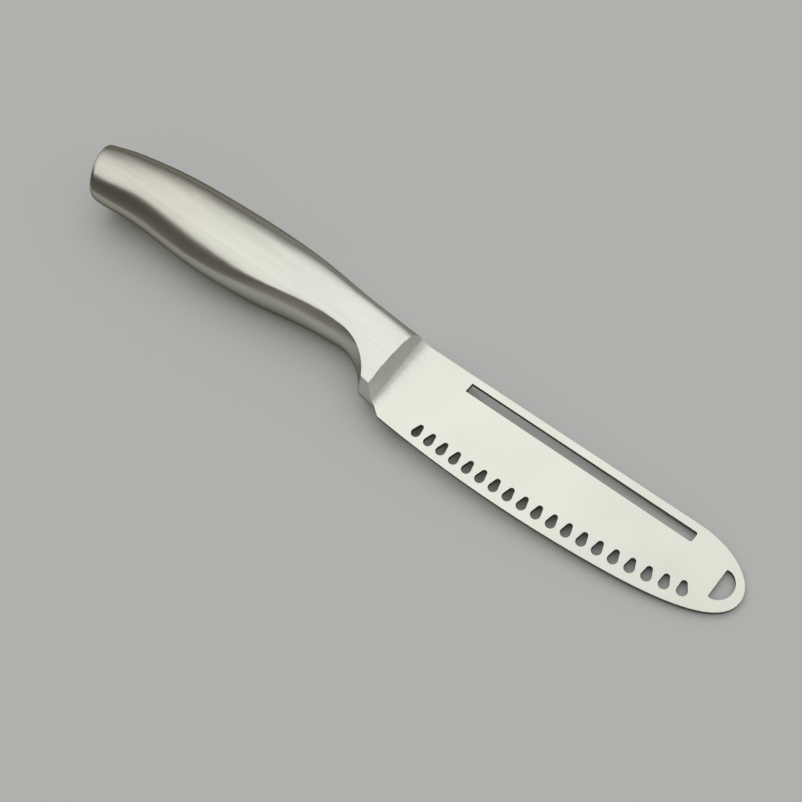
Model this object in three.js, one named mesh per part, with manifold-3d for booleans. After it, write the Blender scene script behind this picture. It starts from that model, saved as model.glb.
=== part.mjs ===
// Stainless butter knife: a perforated sheet blade let into a solid bolster, and a hollow handle of two
// pressed half shells closed by an end cap.
// Lengths are millimetres. The knife lies on its side. X runs from the butt to the tip, Y from the
// cutting edge to the spine, and Z out of the face of the blade. While it is drawn, X is zero where the
// blade leaves the bolster, Y is zero on the blade's spine and Z is zero in the middle of the sheet.
import * as THREE from "three";
import { mergeVertices } from "three/addons/utils/BufferGeometryUtils.js";
import Module from "manifold-3d";

const wasm = await Module();
wasm.setup();

// Blade
const bladeThickness = 1.4;
const bladeLength = 107.3; // from the bolster to the tip
const bladeDepth = 27.2; // from the spine to the lowest point of the edge
const edgeRadius = 400; // the long belly of the cutting edge
const edgeLowestPlace = 31; // how far from the bolster the edge is lowest
const edgeTipRun = 35.3; // the tip's own curve, from the end of the long belly to the nose
const heelPlace = 2.9; // the heel corner of the cutting edge
const tipLength = 18.4; // the quarter ellipse from the spine to the nose
const tipDrop = 11.1;
const tipBellyPull = 20; // how far the lower tip curve follows the edge and the nose
const tipNosePull = 8.5;

// Openings of the blade
const slotHeight = 3.1;
const slotPlace = 17.4; // from the bolster to the slot
const slotNoseLand = 17.4; // from the slot to the nose
const slotBelowSpine = 2.2;
const slotCornerRadius = 0.7;
const curlHolePitch = 4.47; // along the row
const curlHoleFirstPlace = 14.85;
const curlHoleNoseLand = 10; // no hole has its middle nearer to the nose
const curlHoleFirstInset = 4; // from the cutting edge to the middle of a hole at the heel
const curlHoleLastInset = 4.55; // and at the nose
const curlHoleLength = 4.3;
const curlHoleWideRadius = 1.4;
const curlHoleNarrowRadius = 0.85;
const endHoleInset = 6.75; // from the nose to the straight side of the end hole
const endHoleWidth = 4.2;
const endHoleHeight = 9;
const endHoleBelowSpine = 10.3; // to its middle
const endHoleCornerRadius = 0.5;

// Tang, the narrow end of the sheet that sits inside the bolster
const tangLength = 14;
const tangHeight = 10;
const tangBelowSpine = 3.5;
const tangCornerRadius = 2;
const tangClearance = 0.2;

// Handle form
const handleLength = 139.6; // from the blade to the far corner of the butt
const spineRise = 5.3; // the back of the handle above the blade's spine
const bellyDrop = 21.4; // the belly of the handle below the blade's spine
const handleThickness = 17.4;
const neckBack = 24; // from the blade to the slimmest part of the neck
const guardSweepRadius = 21.4; // the hollow in front of the first finger
const guardDrop = 24.3; // the foot of the guard below the blade's spine
const lipBack = 6.8; // from the blade to the lip of the guard
const buttHeight = 19;
const buttMiddleDrop = 11.9; // the middle of the butt below the blade's spine
const buttSlant = 0.46; // how far the butt leans back for each unit of height
const buttBack = handleLength - (buttSlant * buttHeight) / 2; // from the blade to the butt's middle

// Bolster
const bolsterLength = 26;
const rampSpineAngle = 70; // degrees between the blade and the top of the ramp
const rampGuardAngle = 60;
const rampSpineRadius = 4.4; // the hollow foot of the ramp
const rampGuardRadius = 2;
const rampSpineRunOut = 1.1; // how far the foot of the ramp runs out over the sheet
const rampGuardRunOut = 0.6;
const spigotLength = 8;

// Half shells and end cap
const shellWall = 1.1;
const fitClearance = 0.3;
const capThickness = 1.5;
const capEdgeRadius = 0.7;
const capFlangeLength = 3;
const capFlangeWall = 1;
const weldGap = 0.1;

const cutOverrun = 5;

// The form of the handle at stations along its length. Each row holds the share of the length, the rise of
// the spine, the half thickness, the depth of the belly wall below the crease, the height of the crease,
// the place of the crown between belly and spine, how full the roll into the spine is, and the turn of the
// wall at the crease as a share of a right angle.
const formShares = [
  [0.0, 0.0, 0.77, 0.085, 0.84, 0.58, 0.85, 0.56],
  [0.05, 0.07, 0.775, 0.1, 0.89, 0.59, 0.84, 0.54],
  [0.1, 0.15, 0.795, 0.115, 0.92, 0.6, 0.82, 0.48],
  [0.174, 0.3, 0.85, 0.124, 0.93, 0.62, 0.78, 0.36],
  [0.25, 0.56, 0.905, 0.142, 0.92, 0.6, 0.72, 0.28],
  [0.33, 0.82, 0.95, 0.142, 0.89, 0.57, 0.66, 0.16],
  [0.41, 0.95, 0.98, 0.155, 0.85, 0.54, 0.61, 0.07],
  [0.5, 1.0, 0.995, 0.185, 0.8, 0.51, 0.57, 0.0],
  [0.6, 0.95, 1.0, 0.195, 0.78, 0.5, 0.56, 0.0],
  [0.7, 0.84, 0.99, 0.195, 0.78, 0.5, 0.56, 0.0],
  [0.785, 0.66, 0.965, 0.185, 0.77, 0.5, 0.56, 0.0],
  [0.85, 0.43, 0.93, 0.17, 0.76, 0.5, 0.56, 0.0],
  [0.92, 0.13, 0.88, 0.145, 0.75, 0.5, 0.56, 0.0],
  [1.0, -0.45, 0.8, 0.12, 0.75, 0.5, 0.56, 0.0],
];
// The belly behind the neck: share of the handle's length, share of the belly's drop.
const bellyShares = [
  [0.174, 0.706],
  [0.25, 0.742],
  [0.32, 0.8],
  [0.41, 0.9],
  [0.5, 0.968],
  [0.6, 1.0],
  [0.7, 0.98],
  [0.785, 0.963],
  [0.85, 0.975],
  [0.92, 1.008],
  [1.0, 0.95],
];
// Where along the length of the handle and of its bolster the rings of the surface lie.
const shellRingCount = 26;
const slantStartShare = 0.69; // of the handle's length, where the rings begin to lean
const guardRingShares = [0, 0.35, 0.6, 0.8, 0.92];
const sweepRingCount = 12;
const rampRingCount = 8;
const capEdgeSteps = 3;
// How the roundness of each stretch of a section, a hole, an outline and a ramp is divided.
const wallSteps = 8;
const faceSteps = 6;
const rollSteps = 10;
const curlHoleSteps = 12;
const outlineSteps = 20;
const rampSteps = 12;
const traceSteps = 2000;
const settlingTurns = 5;
const faceControlShare = 0.45;

// The row of a table at a place, without the place itself, on smooth curves through the table's rows.
function smooth(table, place) {
  const last = table.length - 1;
  let row = 0;
  while (row < last - 1 && place > table[row + 1][0]) {
    row += 1;
  }
  const slopeAt = (index, column) => {
    const before = table[Math.max(index - 1, 0)];
    const after = table[Math.min(index + 1, last)];
    return (after[column] - before[column]) / (after[0] - before[0]);
  };
  const from = table[row];
  const to = table[row + 1];
  const run = to[0] - from[0];
  const t = (place - from[0]) / run;
  const toWeight = t * t * (3 - 2 * t);
  const fromTangent = run * t * (1 - t) * (1 - t);
  const toTangent = run * t * t * (t - 1);
  const values = from.map(
    (value, column) =>
      value * (1 - toWeight) +
      to[column] * toWeight +
      fromTangent * slopeAt(row, column) +
      toTangent * slopeAt(row + 1, column),
  );
  return values.slice(1);
}

// The lowest line of the handle in the middle plane: the foot of the guard, the hollow, then the belly.
function bellyAt(back) {
  const [, neckShare] = bellyShares[0];
  const neckDrop = bellyDrop * neckShare;
  const hollowAt = (place) => {
    const reach = Math.min(neckBack - place, guardSweepRadius);
    return neckDrop + guardSweepRadius - Math.sqrt(guardSweepRadius ** 2 - reach ** 2);
  };
  if (back < lipBack) {
    return -THREE.MathUtils.lerp(guardDrop, hollowAt(lipBack), back / lipBack);
  }
  if (back < neckBack) {
    return -hollowAt(back);
  }
  const [firstShare] = bellyShares[0];
  const [dropShare] = smooth(bellyShares, firstShare + (back - neckBack) / handleLength);
  return -bellyDrop * dropShare;
}

// The named points of the section at a distance behind the blade. Over the sheet it stays as it is there.
function sectionAt(distance) {
  const back = Math.max(distance, 0);
  const row = smooth(formShares, back / handleLength);
  const [riseShare, halfShare, wallShare, creaseShare, crownShare, roll, turn] = row;
  const spine = spineRise * riseShare;
  const belly = bellyAt(back);
  const half = (handleThickness / 2) * halfShare;
  const creaseY = belly + (spineRise + bellyDrop) * wallShare;
  const creaseZ = half * creaseShare;
  const crown = THREE.MathUtils.lerp(belly, spine, crownShare);
  return { spine, belly, half, creaseY, creaseZ, crown, roll, turn };
}

// Half of the section, as points (y, z) from the belly line over the crease and the face to the spine.
function outerSide(back) {
  const { spine, belly, half, creaseY, creaseZ, crown, roll, turn } = sectionAt(back);
  const crease = new THREE.Vector2(creaseY, creaseZ);
  const top = new THREE.Vector2(crown, half);
  const faceRun = (crown - creaseY) * faceControlShare;
  const faceTilt = Math.atan2(half - creaseZ, faceRun);
  const wallTilt = faceTilt + turn * (Math.PI / 2);
  const wallCorner = Math.max(creaseZ - (creaseY - belly) * Math.tan(wallTilt), 0);
  const wall = new THREE.QuadraticBezierCurve(
    new THREE.Vector2(belly, 0),
    new THREE.Vector2(belly, wallCorner),
    crease,
  );
  const face = new THREE.QuadraticBezierCurve(crease, new THREE.Vector2(creaseY + faceRun, half), top);
  const spineRoll = new THREE.CubicBezierCurve(
    top,
    new THREE.Vector2(THREE.MathUtils.lerp(crown, spine, roll), half),
    new THREE.Vector2(spine, half * roll),
    new THREE.Vector2(spine, 0),
  );
  return [
    ...wall.getPoints(wallSteps),
    ...face.getPoints(faceSteps).slice(1),
    ...spineRoll.getPoints(rollSteps).slice(1),
  ];
}

// The same side moved into the metal by an inset, square to the section.
function insetSide(back, inset) {
  const outer = outerSide(back);
  return outer.map((point, index) => {
    const before = outer[Math.max(index - 1, 0)];
    const after = outer[Math.min(index + 1, outer.length - 1)];
    const along = after.clone().sub(before).normalize();
    if (index === 0) {
      return new THREE.Vector2(point.x + inset, 0);
    }
    if (index === outer.length - 1) {
      return new THREE.Vector2(point.x - inset, 0);
    }
    return new THREE.Vector2(point.x + along.y * inset, point.y - along.x * inset);
  });
}

// One side of a ring in space. A slanted ring leans with the butt, so each point finds its own place.
function ringSide(back, inset, slant) {
  const count = insetSide(back, inset).length;
  const points = [];
  for (let index = 0; index < count; index += 1) {
    let place = back;
    let point = insetSide(place, inset)[index];
    for (let turn = 0; slant > 0 && turn < settlingTurns; turn += 1) {
      place = back + slant * buttSlant * (point.x + buttMiddleDrop);
      point = insetSide(place, inset)[index];
    }
    points.push(new THREE.Vector3(-place, point.x, point.y));
  }
  return points;
}

// A closed ring round the whole handle.
function fullRing(back, inset, slant) {
  const side = ringSide(back, inset, slant);
  const mirrored = side
    .slice(1, -1)
    .reverse()
    .map((point) => new THREE.Vector3(point.x, point.y, -point.z));
  return [...side, ...mirrored];
}

// A closed band round the wall of one half shell.
function shellRing(back, slant, sign) {
  const outer = ringSide(back, 0, slant);
  const inner = ringSide(back, shellWall, slant).reverse();
  return [...outer, ...inner].map((point) => new THREE.Vector3(point.x, point.y, sign * point.z));
}

// A closed surface through rings of equally many points, with flat ends.
function loft(rings) {
  const count = rings[0].length;
  const positions = rings.flat().flatMap((point) => [point.x, point.y, point.z]);
  const indices = [];
  for (let ring = 0; ring < rings.length - 1; ring += 1) {
    for (let index = 0; index < count; index += 1) {
      const next = (index + 1) % count;
      const a = ring * count + index;
      const b = ring * count + next;
      indices.push(a, b, b + count, a, b + count, a + count);
    }
  }
  const lastRing = rings.length - 1;
  for (const ring of [0, lastRing]) {
    const outline = rings[ring].map((point) => new THREE.Vector2(point.y, point.z));
    const clockwise = THREE.ShapeUtils.isClockWise(outline);
    for (const corners of THREE.ShapeUtils.triangulateShape(outline, [])) {
      const [a, b, c] = corners.map((corner) => ring * count + corner);
      indices.push(...(clockwise === (ring === 0) ? [a, b, c] : [a, c, b]));
    }
  }
  const geometry = new THREE.BufferGeometry();
  geometry.setAttribute("position", new THREE.Float32BufferAttribute(positions, 3));
  geometry.setIndex(indices);
  return facingOut(geometry);
}

// A closed surface with its faces turned outwards.
function facingOut(geometry) {
  const position = geometry.getAttribute("position");
  const index = geometry.getIndex();
  const corners = [new THREE.Vector3(), new THREE.Vector3(), new THREE.Vector3()];
  let volume = 0;
  for (let face = 0; face < index.count; face += 3) {
    corners.forEach((corner, which) => corner.fromBufferAttribute(position, index.getX(face + which)));
    volume += corners[0].dot(corners[1].clone().cross(corners[2]));
  }
  if (volume < 0) {
    for (let face = 0; face < index.count; face += 3) {
      const second = index.getX(face + 1);
      index.setX(face + 1, index.getX(face + 2));
      index.setX(face + 2, second);
    }
  }
  geometry.computeVertexNormals();
  return geometry;
}

function solidOf(geometry) {
  const bare = geometry.clone();
  bare.deleteAttribute("normal");
  bare.deleteAttribute("uv");
  const merged = mergeVertices(bare);
  return new wasm.Manifold(
    new wasm.Mesh({
      numProp: 3,
      vertProperties: merged.getAttribute("position").array,
      triVerts: new Uint32Array(merged.getIndex().array),
    }),
  );
}

function geometryOf(solid) {
  const mesh = solid.getMesh();
  const geometry = new THREE.BufferGeometry();
  geometry.setAttribute("position", new THREE.BufferAttribute(mesh.vertProperties, 3));
  geometry.setIndex(new THREE.BufferAttribute(mesh.triVerts, 1));
  geometry.computeVertexNormals();
  return geometry;
}

// The cutting edge from the heel to the tip: a long belly and the curve that turns up to the nose.
function cuttingEdge() {
  const centreY = edgeRadius - bladeDepth;
  const angleAt = (place) => -Math.PI / 2 + Math.asin((place - edgeLowestPlace) / edgeRadius);
  const heelAngle = angleAt(heelPlace);
  const runOutAngle = angleAt(bladeLength - edgeTipRun);
  const belly = new THREE.EllipseCurve(
    edgeLowestPlace,
    centreY,
    edgeRadius,
    edgeRadius,
    heelAngle,
    runOutAngle,
  );
  const runOut = belly.getPoint(1);
  const ahead = new THREE.Vector2(-Math.sin(runOutAngle), Math.cos(runOutAngle));
  const tip = new THREE.CubicBezierCurve(
    runOut,
    runOut.clone().addScaledVector(ahead, tipBellyPull),
    new THREE.Vector2(bladeLength, -tipDrop - tipNosePull),
    new THREE.Vector2(bladeLength, -tipDrop),
  );
  const edge = new THREE.CurvePath();
  edge.add(belly);
  edge.add(tip);
  return edge;
}

// A pear-shaped hole with its wide end towards the cutting edge.
function curlHole(middle, inward) {
  const wideReach = curlHoleLength / 2 - curlHoleWideRadius;
  const narrowReach = curlHoleLength / 2 - curlHoleNarrowRadius;
  const wide = middle.clone().addScaledVector(inward, -wideReach);
  const narrow = middle.clone().addScaledVector(inward, narrowReach);
  const lean = Math.asin((curlHoleWideRadius - curlHoleNarrowRadius) / (wideReach + narrowReach));
  const facing = inward.angle();
  const quarter = Math.PI / 2;
  const hole = new THREE.Path();
  hole.absarc(narrow.x, narrow.y, curlHoleNarrowRadius, facing - quarter + lean, facing + quarter - lean);
  hole.absarc(wide.x, wide.y, curlHoleWideRadius, facing + quarter - lean, facing + 3 * quarter + lean);
  hole.closePath();
  return new THREE.Path(hole.getPoints(curlHoleSteps));
}

// The row of holes follows the cutting edge and stands evenly spaced along its own line.
function curlHoles() {
  const edge = cuttingEdge();
  const lastPlace = bladeLength - curlHoleNoseLand;
  const holes = [];
  let travelled = 0;
  let previous = null;
  for (let step = 0; step <= traceSteps; step += 1) {
    const share = step / traceSteps;
    const along = edge.getTangentAt(share);
    const inward = new THREE.Vector2(-along.y, along.x);
    const inset = THREE.MathUtils.lerp(curlHoleFirstInset, curlHoleLastInset, share);
    const middle = edge.getPointAt(share).addScaledVector(inward, inset);
    if (previous && middle.x >= curlHoleFirstPlace && middle.x <= lastPlace) {
      travelled += holes.length ? middle.distanceTo(previous) : 0;
      if (travelled >= holes.length * curlHolePitch) {
        holes.push(curlHole(middle, inward));
      }
    }
    previous = middle;
  }
  return holes;
}

// The long slot under the spine, with square corners at the heel and round ones at the tip.
function slot() {
  const left = slotPlace;
  const right = bladeLength - slotNoseLand;
  const top = -slotBelowSpine;
  const bottom = top - slotHeight;
  const hole = new THREE.Path();
  hole.moveTo(left, top);
  hole.lineTo(left, bottom);
  hole.lineTo(right - slotCornerRadius, bottom);
  hole.quadraticCurveTo(right, bottom, right, bottom + slotCornerRadius);
  hole.lineTo(right, top - slotCornerRadius);
  hole.quadraticCurveTo(right, top, right - slotCornerRadius, top);
  hole.closePath();
  return hole;
}

// The D-shaped hole in the tip: a straight side towards the handle, a bow that follows the nose.
function endHole() {
  const left = bladeLength - endHoleInset;
  const middle = -endHoleBelowSpine;
  const halfHeight = endHoleHeight / 2;
  const cornerTurn = Math.asin(1 - endHoleCornerRadius / endHoleHeight);
  const hole = new THREE.Path();
  hole.moveTo(left, middle + halfHeight - endHoleCornerRadius);
  hole.lineTo(left, middle - halfHeight + endHoleCornerRadius);
  const bowX = left + Math.cos(cornerTurn) * endHoleWidth;
  const bowY = middle - Math.sin(cornerTurn) * halfHeight;
  hole.quadraticCurveTo(left, middle - halfHeight, bowX, bowY);
  hole.absellipse(left, middle, endHoleWidth, halfHeight, -cornerTurn, cornerTurn);
  hole.quadraticCurveTo(left, middle + halfHeight, left, middle + halfHeight - endHoleCornerRadius);
  hole.closePath();
  return hole;
}

// The sheet: blade, shoulder and tang in one outline.
function bladeGeometry() {
  const tangTop = -tangBelowSpine;
  const tangBottom = tangTop - tangHeight;
  const outline = new THREE.Shape();
  outline.moveTo(0, 0);
  outline.lineTo(0, tangTop);
  outline.lineTo(-tangLength + tangCornerRadius, tangTop);
  outline.quadraticCurveTo(-tangLength, tangTop, -tangLength, tangTop - tangCornerRadius);
  outline.lineTo(-tangLength, tangBottom + tangCornerRadius);
  outline.quadraticCurveTo(-tangLength, tangBottom, -tangLength + tangCornerRadius, tangBottom);
  outline.lineTo(0, tangBottom);
  outline.lineTo(0, -guardDrop);
  for (const curve of cuttingEdge().curves) {
    const start = curve.getPoint(0);
    if (outline.currentPoint.distanceTo(start) > 0) {
      outline.lineTo(start.x, start.y);
    }
    outline.curves.push(curve);
    outline.currentPoint.copy(curve.getPoint(1));
  }
  outline.absellipse(bladeLength - tipLength, -tipDrop, tipLength, tipDrop, 0, Math.PI / 2);
  outline.closePath();
  outline.holes.push(slot(), endHole(), ...curlHoles());
  const sheet = new THREE.ExtrudeGeometry(outline, {
    depth: bladeThickness,
    bevelEnabled: false,
    curveSegments: outlineSteps,
  });
  sheet.translate(0, 0, -bladeThickness / 2);
  return sheet;
}

// What the grinding wheel takes off one face of the bolster, down to the face of the blade. The ramp turns
// and its hollow foot tightens from the spine to the guard.
function rampCutter(sign) {
  const face = bladeThickness / 2;
  const first = spineRise + cutOverrun;
  const last = -guardDrop - cutOverrun;
  const rings = [];
  for (let ring = 0; ring <= rampRingCount; ring += 1) {
    const place = THREE.MathUtils.lerp(first, last, ring / rampRingCount);
    const share = -place / guardDrop;
    const slope = THREE.MathUtils.degToRad(THREE.MathUtils.lerp(rampSpineAngle, rampGuardAngle, share));
    const radius = THREE.MathUtils.lerp(rampSpineRadius, rampGuardRadius, share);
    const runOut = THREE.MathUtils.lerp(rampSpineRunOut, rampGuardRunOut, share);
    const foot = new THREE.EllipseCurve(
      runOut,
      face + radius,
      radius,
      radius,
      -Math.PI / 2,
      -Math.PI / 2 - slope,
      true,
    );
    const upwards = new THREE.Vector2(-Math.cos(slope), Math.sin(slope));
    const top = foot.getPoint(1).addScaledVector(upwards, handleThickness);
    const profile = [
      new THREE.Vector2(rampSpineRunOut + cutOverrun, face),
      ...foot.getPoints(rampSteps),
      top,
      new THREE.Vector2(rampSpineRunOut + cutOverrun, top.y),
    ];
    rings.push(profile.map((point) => new THREE.Vector3(-place, point.x, sign * point.y)));
  }
  const cutter = loft(rings);
  cutter.rotateZ(-Math.PI / 2);
  return cutter;
}

// The slot that takes the tang, open towards the blade.
function tangSlot() {
  const length = tangLength + tangClearance + cutOverrun;
  const height = tangHeight + 2 * tangClearance;
  const slotBox = new THREE.BoxGeometry(length, height, bladeThickness);
  slotBox.translate(cutOverrun - length / 2, -tangBelowSpine - tangHeight / 2, 0);
  return slotBox;
}

// The slot between the feet of the two ramps, which lie on the faces of the sheet.
function sheetSlot() {
  const length = rampSpineRunOut + cutOverrun;
  const height = spineRise + guardDrop + 2 * cutOverrun;
  const slotBox = new THREE.BoxGeometry(length, height, bladeThickness);
  slotBox.translate(length / 2, (spineRise - guardDrop) / 2, 0);
  return slotBox;
}

// The bolster: the neck and guard of the handle in one piece, with a spigot that enters the shells.
function bolsterGeometry() {
  const rings = [fullRing(-rampSpineRunOut, 0, 0)];
  for (const share of guardRingShares) {
    rings.push(fullRing(share * lipBack, 0, 0));
  }
  for (let step = 0; step <= sweepRingCount; step += 1) {
    rings.push(fullRing(THREE.MathUtils.lerp(lipBack, bolsterLength, step / sweepRingCount), 0, 0));
  }
  const spigotInset = shellWall + fitClearance;
  rings.push(fullRing(bolsterLength, spigotInset, 0));
  rings.push(fullRing(bolsterLength + spigotLength / 2, spigotInset, 0));
  rings.push(fullRing(bolsterLength + spigotLength, spigotInset, 0));
  const solid = solidOf(loft(rings))
    .subtract(solidOf(rampCutter(1)))
    .subtract(solidOf(rampCutter(-1)))
    .subtract(solidOf(sheetSlot()))
    .subtract(solidOf(tangSlot()));
  return geometryOf(solid);
}

// One pressed half of the hollow handle, open at the bolster and at the butt.
function shellGeometry(sign) {
  const shellEnd = buttBack - capThickness - weldGap;
  const rings = [];
  for (let ring = 0; ring <= shellRingCount; ring += 1) {
    const back = THREE.MathUtils.lerp(bolsterLength, shellEnd, ring / shellRingCount);
    const slant = THREE.MathUtils.smoothstep(back, slantStartShare * handleLength, shellEnd);
    rings.push(shellRing(back, slant, sign));
  }
  return loft(rings);
}

// The end cap: a slanted plate with a softened edge and a flange that enters the shells.
function capGeometry() {
  const plateBack = buttBack - capThickness;
  const flangeInset = shellWall + fitClearance;
  const flangeInnerInset = flangeInset + capFlangeWall;
  const edgeBack = buttBack - capEdgeRadius;
  const rings = [fullRing(plateBack, flangeInnerInset, 1)];
  rings.push(fullRing(plateBack - capFlangeLength, flangeInnerInset, 1));
  rings.push(fullRing(plateBack - capFlangeLength, flangeInset, 1));
  rings.push(fullRing(plateBack, flangeInset, 1));
  rings.push(fullRing(plateBack, 0, 1));
  for (let step = 0; step <= capEdgeSteps; step += 1) {
    const turn = (step / capEdgeSteps) * (Math.PI / 2);
    const inset = capEdgeRadius * (1 - Math.cos(turn));
    rings.push(fullRing(edgeBack + capEdgeRadius * Math.sin(turn), inset, 1));
  }
  return loft(rings);
}

// Brushed stainless steel: the blade is brighter than the handle.
function steel(colour, roughness) {
  return new THREE.MeshStandardMaterial({ color: colour, roughness, metalness: 1 });
}

function part(name, geometry, material) {
  const mesh = new THREE.Mesh(geometry, material);
  mesh.name = name;
  return mesh;
}

const bladeSteel = ["#d9d9d0", 0.34];
const bolsterSteel = ["#cfcec4", 0.32];
const handleSteel = ["#c8c6bb", 0.36];

const knife = new THREE.Group();
knife.add(part("blade", bladeGeometry(), steel(...bladeSteel)));
knife.add(part("bolster", bolsterGeometry(), steel(...bolsterSteel)));
knife.add(part("handle_shell_right", shellGeometry(1), steel(...handleSteel)));
knife.add(part("handle_shell_left", shellGeometry(-1), steel(...handleSteel)));
knife.add(part("end_cap", capGeometry(), steel(...handleSteel)));

// The knife lies with the middle of its outline over the origin and its lowest side at Z = 0.
const box = new THREE.Box3().setFromObject(knife);
const middle = box.getCenter(new THREE.Vector3());
knife.position.set(-middle.x, -middle.y, -box.min.z);

export default knife;
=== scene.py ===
import math

import bpy
from mathutils import Matrix, Vector
from mathutils.kdtree import KDTree


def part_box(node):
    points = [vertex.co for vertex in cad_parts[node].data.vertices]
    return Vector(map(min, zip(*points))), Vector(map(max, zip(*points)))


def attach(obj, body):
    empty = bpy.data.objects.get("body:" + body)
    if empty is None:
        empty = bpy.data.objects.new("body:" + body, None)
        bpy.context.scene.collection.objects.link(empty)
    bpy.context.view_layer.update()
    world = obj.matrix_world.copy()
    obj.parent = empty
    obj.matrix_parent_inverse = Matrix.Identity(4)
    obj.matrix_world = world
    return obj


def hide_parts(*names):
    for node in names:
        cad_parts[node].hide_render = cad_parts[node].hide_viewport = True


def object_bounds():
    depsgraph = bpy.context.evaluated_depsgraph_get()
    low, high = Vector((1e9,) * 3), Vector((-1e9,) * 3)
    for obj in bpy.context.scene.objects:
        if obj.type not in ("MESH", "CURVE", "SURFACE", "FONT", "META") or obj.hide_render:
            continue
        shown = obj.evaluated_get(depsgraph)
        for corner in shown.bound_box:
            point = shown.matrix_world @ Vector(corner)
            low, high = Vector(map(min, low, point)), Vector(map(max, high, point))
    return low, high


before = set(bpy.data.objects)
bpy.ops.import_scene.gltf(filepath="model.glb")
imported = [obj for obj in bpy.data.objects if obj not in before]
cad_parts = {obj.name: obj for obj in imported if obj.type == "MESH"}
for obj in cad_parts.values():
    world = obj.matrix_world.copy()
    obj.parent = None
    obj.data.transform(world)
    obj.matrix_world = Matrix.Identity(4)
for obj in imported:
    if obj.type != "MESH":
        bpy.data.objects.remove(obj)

cad_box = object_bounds()

# Blade. One sheet of stainless steel, stamped with its slot and its holes and ground across on a belt,
# which leaves the stamped walls rougher than the faces. The walls are also painted dark, as painted
# shade in the slot, the holes and along the edges. Its tang is let into the bolster.
blade_finish = {
    "front_tone": (0.65, 0.658, 0.584),
    "rim_tint": (1, 1, 1),
    "roughness": 0.18,
    "marks_size": (0.0009, 0.03, 0.03),
    "marks_share": 0.35,
    "wear_depth": 0.09,
}
marks_depth = 0.000003
marks_roughness = 0.1
clouds_per_metre = 45.0
noise_low, noise_high = 0.35, 0.65
mean_shine = 0.98
# Painted shade: the steel is painted darker towards the butt, where its reflection is dimmer.
butt_shade_tone = (0.585, 0.573, 0.497)
tone_start, tone_end = -0.09, 0.01
front_roughness = 0.09
# Painted shade: the stamped walls of the sheet are painted this dark tone.
wall_shade_tone = (0.2, 0.195, 0.17)
cut_roughness = 0.3
wall_facing, sheet_facing = 0.3, 0.7


class Socket:
    """A socket of a material, so that shader maths reads as an expression."""

    def __init__(self, tree, socket):
        self.tree = tree
        self.socket = socket

    def maths(self, operation, *others, clamp=False):
        node = self.tree.nodes.new("ShaderNodeMath")
        node.operation = operation
        node.use_clamp = clamp
        for place, value in enumerate(others):
            if isinstance(value, Socket):
                self.tree.links.new(value.socket, node.inputs[place])
            else:
                node.inputs[place].default_value = value
        return Socket(self.tree, node.outputs[0])

    def __add__(self, other):
        return self.maths("ADD", self, other)

    __radd__ = __add__

    def __mul__(self, other):
        return self.maths("MULTIPLY", self, other)

    __rmul__ = __mul__

    def __sub__(self, other):
        return self.maths("SUBTRACT", self, other)

    def __rsub__(self, other):
        return self.maths("SUBTRACT", other, self)

    def between(self, low, high):
        """How far the value has come from low to high, from 0 to 1."""
        return self.maths("MULTIPLY", self - low, 1 / (high - low), clamp=True)


class Shader:
    """A new material or world whose nodes are added by one method."""

    def __init__(self, block):
        self.block = block
        block.use_nodes = True
        self.tree = block.node_tree
        self.tree.nodes.clear()

    def node(self, kind, settings=None, output=0, **sockets):
        """Adds a node. A socket is named by its name, or by its number after an underscore."""
        node = self.tree.nodes.new("ShaderNode" + kind)
        for name, value in (settings or {}).items():
            if name == "stops":
                ramp = node.color_ramp
                while len(ramp.elements) < len(value):
                    ramp.elements.new(1)
                for element, (place, grey) in zip(ramp.elements, value):
                    element.position = place
                    element.color = (grey, grey, grey, 1)
            else:
                setattr(node, name, value)
        for name, value in sockets.items():
            socket = node.inputs[int(name[1:]) if name[1:].isdigit() else name.replace("_", " ")]
            if isinstance(value, Socket):
                self.tree.links.new(value.socket, socket)
            else:
                socket.default_value = value
        return Socket(self.tree, node.outputs[output]) if node.outputs else None

    def mix(self, share, first, second):
        """The colour that lies a share of the way from the first colour to the second."""
        return self.node("Mix", {"data_type": "RGBA"}, output=2, _0=share, _6=first, _7=second)


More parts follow.
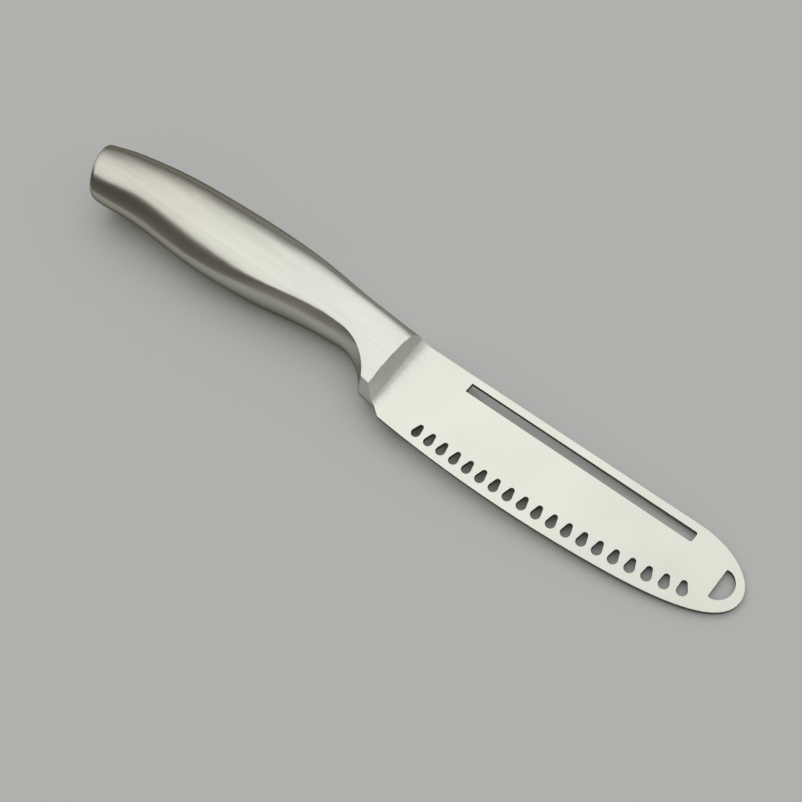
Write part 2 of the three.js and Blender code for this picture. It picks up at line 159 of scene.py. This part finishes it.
def ground_steel(
    name, front_tone, rim_tint, roughness, marks_size, marks_share, wear_depth, rough_shaded_walls=False
):
    """Stainless steel ground on a belt: fine marks, faint clouds, and painted shade that darkens it
    towards the butt.
    """
    shader = Shader(bpy.data.materials.new(name))
    place = shader.node("TexCoord", output="Object")
    marks_place = shader.node("Mapping", Vector=place, Scale=[1 / length for length in marks_size])
    marks = shader.node("TexNoise", Vector=marks_place, Scale=1.0, Detail=5.0, Roughness=0.7)
    clouds = shader.node("TexNoise", Vector=place, Scale=clouds_per_metre, Detail=3.0)
    along = shader.node("SeparateXYZ", Vector=place, output="X")
    # Painted shade: the tone darkens from the front towards the butt. The roughness also rises towards
    # the blade.
    towards_blade = along.between(tone_start, tone_end)
    tone = shader.mix(towards_blade, (*butt_shade_tone, 1), (*front_tone, 1))
    wear = (marks * marks_share + clouds * (1 - marks_share)).between(noise_low, noise_high)
    shine = wear * wear_depth + (mean_shine - wear_depth / 2)
    tone = shader.node("VectorMath", {"operation": "SCALE"}, Vector=tone, Scale=shine)
    least_roughness = roughness - marks_roughness / 2
    rough = marks * marks_roughness + towards_blade * front_roughness + least_roughness
    # Painted shade: faces that turn sideways, the walls of the sheet, get the dark tone; they are also
    # rougher.
    if rough_shaded_walls:
        facing = shader.node("TexCoord", output="Normal")
        facing_up = shader.node("SeparateXYZ", Vector=facing, output="Z")
        face_share = (facing_up * facing_up).between(wall_facing, sheet_facing)
        tone = shader.mix(face_share, (*wall_shade_tone, 1), tone)
        rough = rough + (1 - face_share) * cut_roughness
    bump = shader.node("Bump", Strength=1.0, Distance=marks_depth, Height=marks)
    steel = shader.node(
        "BsdfPrincipled",
        Metallic=1.0,
        Base_Color=tone,
        Normal=bump,
        Roughness=rough,
        Specular_Tint=(*rim_tint, 1),
    )
    shader.node("OutputMaterial", Surface=steel)
    return shader.block


merge_distance = 1e-6
flat_turn = math.radians(0.2)


def clean_copy(node, name):
    """The node's own form as one merged mesh that replaces it."""
    piece = bpy.data.objects.new(name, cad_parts[node].data.copy())
    bpy.context.scene.collection.objects.link(piece)
    bpy.ops.object.select_all(action="DESELECT")
    piece.select_set(True)
    bpy.context.view_layer.objects.active = piece
    bpy.ops.object.mode_set(mode="EDIT")
    bpy.ops.mesh.select_all(action="SELECT")
    bpy.ops.mesh.remove_doubles(threshold=merge_distance)
    bpy.ops.mesh.dissolve_limited(angle_limit=flat_turn)
    bpy.ops.object.mode_set(mode="OBJECT")
    bpy.ops.mesh.customdata_custom_splitnormals_clear()
    piece.data.materials.clear()
    return piece


smooth_turn = math.radians(22)
crisp_turn = math.radians(50)
same_place = 2e-6


def polish(pieces):
    """Shades pieces that are ground together as one surface, crisper the more sharply it turns."""
    corners = []
    for piece in pieces:
        mesh = piece.data
        mesh.polygons.foreach_set("use_smooth", [True] * len(mesh.polygons))
        for face in mesh.polygons:
            places = [mesh.vertices[index].co for index in face.vertices]
            for place, before, after in zip(places, places[-1:] + places[:-1], places[1:] + places[:1]):
                opening = (before - place).angle(after - place, 0)
                corners.append((place, face.normal.copy(), face.area * opening))
    finder = KDTree(len(corners))
    for index, (place, _, _) in enumerate(corners):
        finder.insert(place, index)
    finder.balance()
    crisp, smooth = math.cos(crisp_turn), math.cos(smooth_turn)
    for piece in pieces:
        mesh = piece.data
        normals = []
        for face in mesh.polygons:
            for vertex in face.vertices:
                total = Vector()
                for _, index, _ in finder.find_range(mesh.vertices[vertex].co, same_place):
                    _, normal, weight = corners[index]
                    share = (normal.dot(face.normal) - crisp) / (smooth - crisp)
                    total += normal * weight * min(max(share, 0), 1)
                normals.append(total.normalized())
        mesh.normals_split_custom_set(normals)


blade = clean_copy("blade", "blade_sheet")
polish([blade])
blade.data.materials.append(ground_steel("blade_steel", rough_shaded_walls=True, **blade_finish))
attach(blade, "root")
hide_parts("blade")

# Bolster. The solid front of the handle, forged in one piece with the guard and the neck, and ground
# lengthwise as the whole handle is. Its ramps are ground down to the blade, which is brazed into it.
handle_finish = {
    "front_tone": (0.65, 0.662, 0.605),
    "rim_tint": (0.3, 0.29, 0.26),
    "roughness": 0.21,
    "marks_size": (0.06, 0.0022, 0.0022),
    "marks_share": 0.8,
    "wear_depth": 0.13,
}
bolster = clean_copy("bolster", "bolster_block")
bolster.data.materials.append(ground_steel("bolster_steel", **handle_finish))
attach(bolster, "root")
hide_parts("bolster")

# Half shells. The hollow grip is pressed from sheet in two halves, which are welded along the spine and
# the belly and ground flush, so that no seam is left to see.
handle_steel = ground_steel("handle_steel", **handle_finish)
grip_right = clean_copy("handle_shell_right", "grip_right")
grip_left = clean_copy("handle_shell_left", "grip_left")
for shell in (grip_right, grip_left):
    shell.data.materials.append(handle_steel)
    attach(shell, "root")
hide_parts("handle_shell_right")
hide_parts("handle_shell_left")

# End cap. A slanted plate of the same steel that closes the butt. Its flange is welded into the shells,
# and its softened edge is ground with the rest of the handle, which is polished here as one surface.
cap = clean_copy("end_cap", "butt_cap")
cap.data.materials.append(ground_steel("cap_steel", **handle_finish))
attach(cap, "root")
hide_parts("end_cap")
polish([bolster, grip_right, grip_left, cap])

# Studio. The knife lies on a plain pale table, on the belly of its grip and on its tip.
# The room is brightest overhead and on the far side of the knife, and dark on the near side.
blade_low, blade_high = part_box("blade")
grip_low, grip_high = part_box("handle_shell_right")
belly_share = 0.52
belly_place = grip_low.x + belly_share * (grip_high.x - grip_low.x)
grip_contact = Vector((belly_place, 0, cad_box[0][2]))
tip_contact = Vector((blade_high.x, 0, blade_low.z))
table_tilt = math.atan2(tip_contact.z - grip_contact.z, tip_contact.x - grip_contact.x)
table_size = 6.0
table_tone = (0.57, 0.575, 0.565)
table_roughness = 0.9
bpy.ops.object.select_all(action="DESELECT")
bpy.ops.mesh.primitive_plane_add(size=table_size)
table = bpy.context.object
table.name = "table"
table.data.transform(Matrix.Rotation(-table_tilt, 4, "Y"))
table.data.transform(Matrix.Translation(grip_contact))
table_paint = Shader(bpy.data.materials.new("table_paint"))
paint = table_paint.node("BsdfPrincipled", Base_Color=(*table_tone, 1), Roughness=table_roughness)
table_paint.node("OutputMaterial", Surface=paint)
table.data.materials.append(table_paint.block)

# A place in the room is a bearing and an elevation in degrees, and a rim is the two cosines between
# which the light there fades in.
window_place, window_rim = (-43, 60), (0.6, 0.65)
window_foot, window_top = -0.1, 1.0
brightest_bearing, brightest_share = -55, 0.2
lamp_place, lamp_rim = (70, 25), (0.75, 0.93)
lamp_strength, lamp_rise = 0.3, 0.33
fill_place, fill_rim = (150, 25), (0.55, 0.95)
fill_strength = 0.22
wall_tint = (1.0, 0.94, 0.84, 1)
lamp_tint = (1.0, 1.0, 1.0, 1)
room_strength = 1.44
window_stops = (
    (0.0, 0.13), (0.09, 0.18), (0.245, 0.25), (0.436, 0.41), (0.545, 0.65), (0.61, 0.8), (0.67, 0.86),
    (0.735, 0.9), (0.79, 0.945), (0.84, 1.0), (0.88, 1.0), (1.0, 0.93),
)
wall_stops = ((0.0, 0.15), (0.12, 0.125), (0.3, 0.09), (0.5, 0.07), (0.7, 0.06))

room = Shader(bpy.data.worlds.new("room"))
bpy.context.scene.world = room.block
way = room.node("TexCoord", output="Generated")
way_x = room.node("SeparateXYZ", Vector=way, output="X")
way_y = room.node("SeparateXYZ", Vector=way, output="Y")
height = room.node("SeparateXYZ", Vector=way, output="Z")


def towards(bearing, elevation=0.0):
    """How straight a direction points at a place of the room, as a cosine."""
    across = math.cos(math.radians(elevation))
    east = math.sin(math.radians(bearing)) * across
    north = math.cos(math.radians(bearing)) * across
    return way_x * east + way_y * north + height * math.sin(math.radians(elevation))


window = room.node("ValToRGB", {"stops": window_stops}, Fac=height.between(window_foot, window_top))
wall = room.node("ValToRGB", {"stops": wall_stops}, Fac=height.between(0.0, 1.0))
through_window = towards(*window_place).between(*window_rim)
window_slope = towards(brightest_bearing) * brightest_share + (1 - brightest_share)
window_light = window * window_slope * through_window
by_lamp = towards(*lamp_place).between(*lamp_rim)
lamp_light = by_lamp * (height * lamp_rise + lamp_strength)
fill_light = towards(*fill_place).between(*fill_rim) * fill_strength
wall_light = (wall + fill_light + lamp_light) * (1 - through_window)
by_light = through_window.maths("MAXIMUM", through_window, by_lamp)
light_tint = room.mix(by_light, wall_tint, lamp_tint)
lit = room.node("Background", Color=light_tint, Strength=(window_light + wall_light) * room_strength)
room.node("OutputWorld", Surface=lit)

# Camera. A standard lens above the blade's side of the table, at the photograph's viewing angle.
# Its place and turn follow from the row of equal holes and from the slot beside the spine.
lens_length = 46.09
film_width = 36
nearest_seen = 0.01
aim = Vector((0.02072, -0.00733, 0.0087))
view_elevation = math.radians(58.94)
view_azimuth = math.radians(-53.59)
view_roll = math.radians(-14.37)
view_distance = 0.28665
camera = bpy.data.objects.new("camera", bpy.data.cameras.new("camera"))
bpy.context.scene.collection.objects.link(camera)
bpy.context.scene.camera = camera
camera.data.lens = lens_length
camera.data.sensor_width = film_width
camera.data.clip_start = nearest_seen
forward = Vector((
    math.sin(view_azimuth) * math.cos(view_elevation),
    math.cos(view_azimuth) * math.cos(view_elevation),
    -math.sin(view_elevation),
))
camera.location = aim - forward * view_distance
turn = forward.to_track_quat("-Z", "Y").to_matrix() @ Matrix.Rotation(view_roll, 3, "Z")
camera.rotation_euler = turn.to_euler()
bpy.context.scene.view_settings.view_transform = "Standard"
